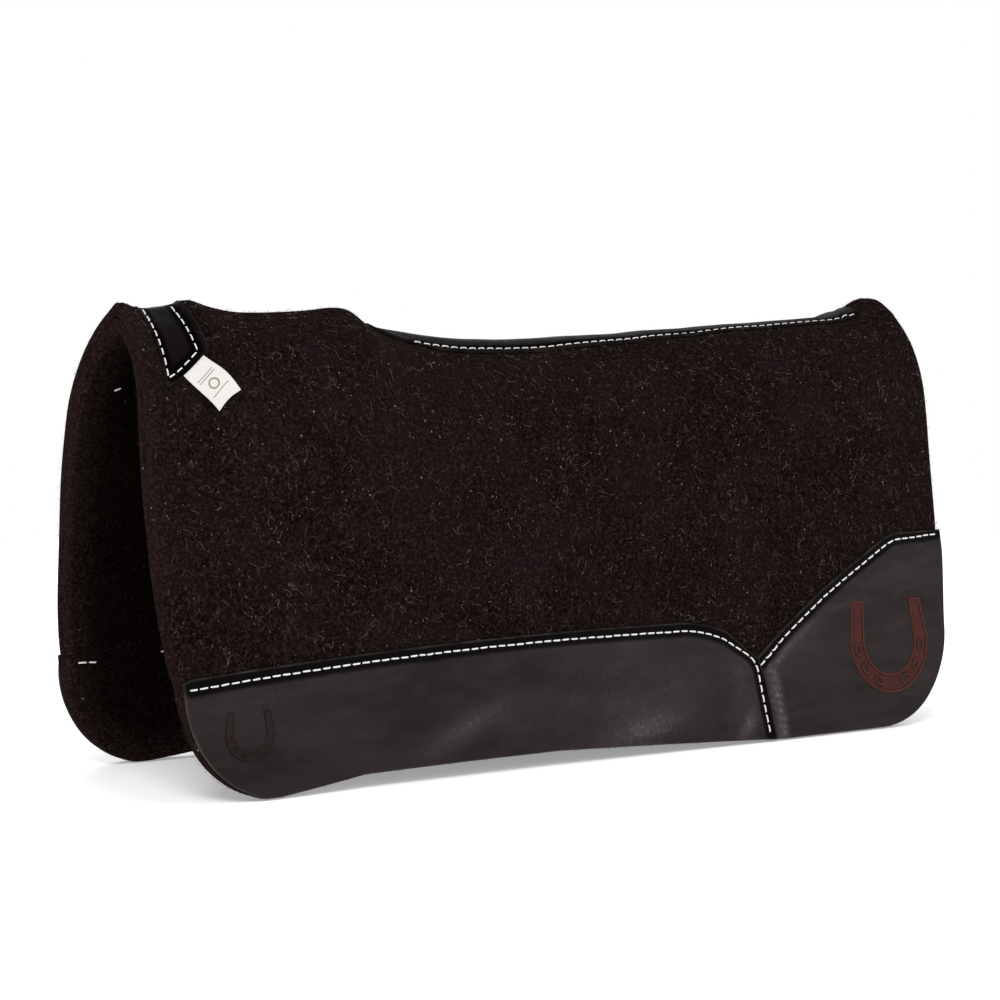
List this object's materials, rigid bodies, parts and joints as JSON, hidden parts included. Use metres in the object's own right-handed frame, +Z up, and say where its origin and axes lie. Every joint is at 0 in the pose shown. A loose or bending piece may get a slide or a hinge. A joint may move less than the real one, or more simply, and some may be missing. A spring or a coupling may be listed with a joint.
{
  "type": "saddle pad",
  "caption": "Contoured wool felt saddle pad standing as an arch, with leather-covered lower sides, a leather spine strip, a wither band, white stitching and a small woven tag.",
  "frame": {"origin": "on the floor, at the middle of the pad's length and width", "axes": "+Z up; X along the horse's back with the withers end at -X; -Y is the horse's left side"},
  "size_m": [0.7762, 0.228, 0.374],
  "materials": {
    "outer_felt": "pressed wool felt, brown with pale fibres",
    "inner_felt": "pressed wool felt, darker contact layer",
    "wear_leather": "smooth oiled leather, charcoal brown",
    "spine_leather": "smooth black leather",
    "inlay_leather": "red-brown leather",
    "white_thread": "waxed polyester thread, off-white",
    "woven_label": "plain woven ribbon, off-white"
  },
  "bodies": {
    "spine": {"spine_strip": "spine_leather", "wither_band": "spine_leather", "spine_joint_stitches": "white_thread", "strip_stitches_left": "white_thread", "strip_stitches_right": "white_thread", "band_stitches_left": "white_thread", "band_stitches_right": "white_thread"},
    "left_half": {"felt_outer_left": "outer_felt", "felt_inner_left": "inner_felt", "front_leather_left": "wear_leather", "rear_leather_left": "wear_leather", "front_emblem_left": "inlay_leather", "rear_emblem_left": "inlay_leather", "front_leather_stitches_left": "white_thread", "rear_leather_stitches_left": "white_thread"},
    "right_half": {"felt_outer_right": "outer_felt", "felt_inner_right": "inner_felt", "front_leather_right": "wear_leather", "rear_leather_right": "wear_leather", "front_emblem_right": "inlay_leather", "rear_emblem_right": "inlay_leather", "front_leather_stitches_right": "white_thread", "rear_leather_stitches_right": "white_thread"},
    "tag": {"woven_tag": "woven_label", "tag_stitch": "white_thread"}
  },
  "joints": [
    {"name": "left_half_opens", "type": "hinge", "parent": "spine", "child": "left_half", "pos_m": [0, 0, 0.378], "axis": [-1, 0, 0], "range_deg": [0, 40], "stiffness_Nm_per_rad": 4.5, "deforming": ["spine_strip", "wither_band", "spine_joint_stitches", "strip_stitches_left", "strip_stitches_right", "band_stitches_left", "band_stitches_right"]},
    {"name": "right_half_opens", "type": "hinge", "parent": "spine", "child": "right_half", "pos_m": [0, 0, 0.378], "axis": [1, 0, 0], "range_deg": [0, 40], "stiffness_Nm_per_rad": 4.5},
    {"name": "tag_flips", "type": "hinge", "parent": "left_half", "child": "tag", "pos_m": [-0.34163, -0.0564, 0.31969], "axis": [-0.829, -0.2566, -0.4969], "range_deg": [0, 60]}
  ]
}
